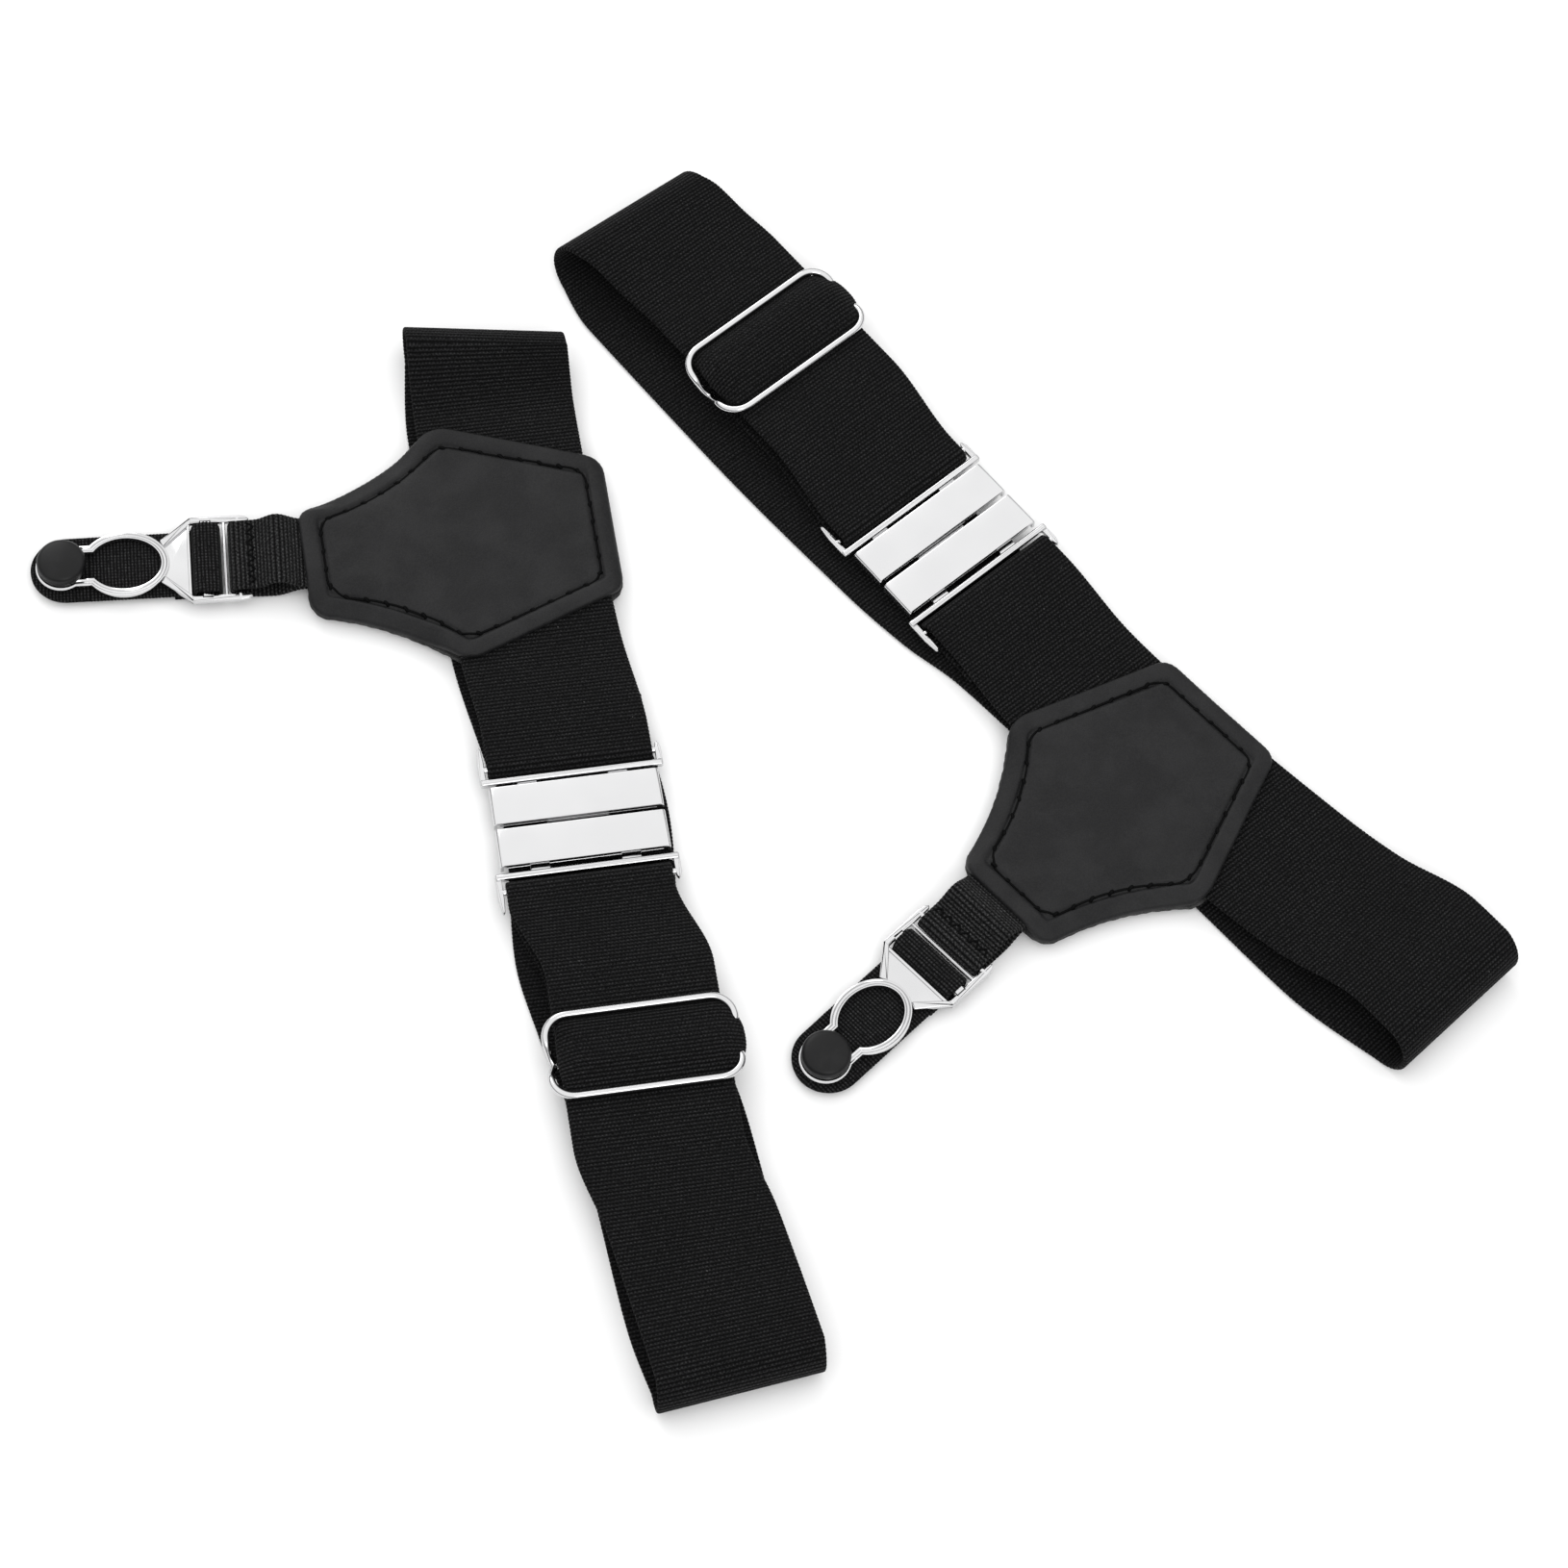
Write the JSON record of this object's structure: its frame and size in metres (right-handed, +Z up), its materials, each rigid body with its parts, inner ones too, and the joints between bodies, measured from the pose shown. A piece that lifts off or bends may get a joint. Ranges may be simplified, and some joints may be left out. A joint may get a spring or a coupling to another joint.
{
  "type": "pair of sock garters",
  "caption": "Pair of dress sock garters: wide elastic loops with hook clasps, wire sliders, leather patches, and keyhole sock clips with buttons.",
  "frame": {"origin": "on the table under the middle of the ground that the pair covers", "axes": "+X to the right of the pair and +Y away from the viewer, as it lies in the picture, +Z up from the table; millimetres in the source, metres in the row"},
  "size_m": [0.2938, 0.2622, 0.0095],
  "materials": {
    "elastic": "black ribbed elastic webbing, matt",
    "ribbon": "black close-woven ribbon",
    "leather": "charcoal leather with a fine grain, semi-matt",
    "nickel": "polished nickel plate",
    "rubber": "black rubber, semi-matt",
    "thread": "black waxed thread"
  },
  "bodies": {
    "left_garter": {"left_band": "elastic", "left_band_return": "elastic", "left_band_end_stitching": "thread", "left_patch_back": "leather", "left_patch_front": "leather", "left_patch_stitching": "thread", "left_clip_strap_sewn_end": "elastic"},
    "left_receiver": {"left_receiver_frame": "nickel", "left_receiver_cover": "nickel"},
    "left_hook": {"left_hook_frame": "nickel", "left_hook_cover": "nickel"},
    "left_slider": {"left_slider_frame": "nickel", "left_slider_sewn_end": "elastic", "left_slider_end_stitching": "thread"},
    "left_strap": {"left_clip_strap": "elastic", "left_clip_strap_stitching": "thread"},
    "left_clip": {"left_clip_frame": "nickel", "left_tongue_ribbon": "ribbon"},
    "left_tongue": {"left_tongue_end": "ribbon", "left_button_knob": "rubber", "left_button_stud": "nickel"},
    "right_garter": {"right_band": "elastic", "right_band_return": "elastic", "right_band_end_stitching": "thread", "right_patch_back": "leather", "right_patch_front": "leather", "right_patch_stitching": "thread", "right_clip_strap_sewn_end": "elastic"},
    "right_receiver": {"right_receiver_frame": "nickel", "right_receiver_cover": "nickel"},
    "right_hook": {"right_hook_frame": "nickel", "right_hook_cover": "nickel"},
    "right_slider": {"right_slider_frame": "nickel", "right_slider_sewn_end": "elastic", "right_slider_end_stitching": "thread"},
    "right_strap": {"right_clip_strap": "elastic", "right_clip_strap_stitching": "thread"},
    "right_clip": {"right_clip_frame": "nickel", "right_tongue_ribbon": "ribbon"},
    "right_tongue": {"right_tongue_end": "ribbon", "right_button_knob": "rubber", "right_button_stud": "nickel"}
  },
  "joints": [
    {"name": "left_receiver_fold", "type": "hinge", "parent": "left_garter", "child": "left_receiver", "pos_m": [-0.03756, -0.00247, 0.00355], "axis": [-0.9603, -0.279, 0], "range_deg": [0, 7]},
    {"name": "left_hook_fold", "type": "hinge", "parent": "left_garter", "child": "left_hook", "pos_m": [-0.03031, -0.02744, 0.00355], "axis": [0.9603, 0.279, 0], "range_deg": [0, 7]},
    {"name": "left_slider_slide", "type": "slide", "parent": "left_garter", "child": "left_slider", "axis": [0.279, -0.9603, 0], "range_m": [-0.006, 0.008], "deforming": ["left_band_return"]},
    {"name": "left_strap_flex", "type": "hinge", "parent": "left_garter", "child": "left_strap", "pos_m": [-0.09627, 0.03418, 0.0049], "axis": [-0.2096, 0.9778, 0], "range_deg": [0, 50]},
    {"name": "left_clip_swing", "type": "hinge", "parent": "left_strap", "child": "left_clip", "pos_m": [-0.10722, 0.03183, 0.003], "axis": [-0.2096, 0.9778, 0], "range_deg": [0, 100]},
    {"name": "left_tongue_slide", "type": "slide", "parent": "left_clip", "child": "left_tongue", "axis": [0.9778, 0.2096, 0], "range_m": [0, 0.0129], "deforming": ["left_tongue_ribbon"]},
    {"name": "right_receiver_fold", "type": "hinge", "parent": "right_garter", "child": "right_receiver", "pos_m": [0.03845, 0.04686, 0.00355], "axis": [0.6782, 0.7349, 0], "range_deg": [0, 7]},
    {"name": "right_hook_fold", "type": "hinge", "parent": "right_garter", "child": "right_hook", "pos_m": [0.01934, 0.06449, 0.00355], "axis": [-0.6782, -0.7349, 0], "range_deg": [0, 7]},
    {"name": "right_slider_slide", "type": "slide", "parent": "right_garter", "child": "right_slider", "axis": [-0.7349, 0.6782, 0], "range_m": [-0.006, 0.008], "deforming": ["right_band_return"]},
    {"name": "right_strap_flex", "type": "hinge", "parent": "right_garter", "child": "right_strap", "pos_m": [0.04637, -0.02117, 0.0049], "axis": [-0.7869, 0.617, 0], "range_deg": [0, 50]},
    {"name": "right_clip_swing", "type": "hinge", "parent": "right_strap", "child": "right_clip", "pos_m": [0.03946, -0.02998, 0.003], "axis": [-0.7869, 0.617, 0], "range_deg": [0, 100]},
    {"name": "right_tongue_slide", "type": "slide", "parent": "right_clip", "child": "right_tongue", "axis": [0.617, 0.7869, 0], "range_m": [0, 0.0129], "deforming": ["right_tongue_ribbon"]},
    {"name": "right_garter_place", "type": "slide", "parent": "left_garter", "child": "right_garter", "axis": [1, 0, 0], "range_m": [0, 0.1]}
  ],
  "couplings": [
    {"joint": "left_hook_fold", "follows": "left_receiver_fold", "ratio": 1},
    {"joint": "right_hook_fold", "follows": "right_receiver_fold", "ratio": 1}
  ]
}
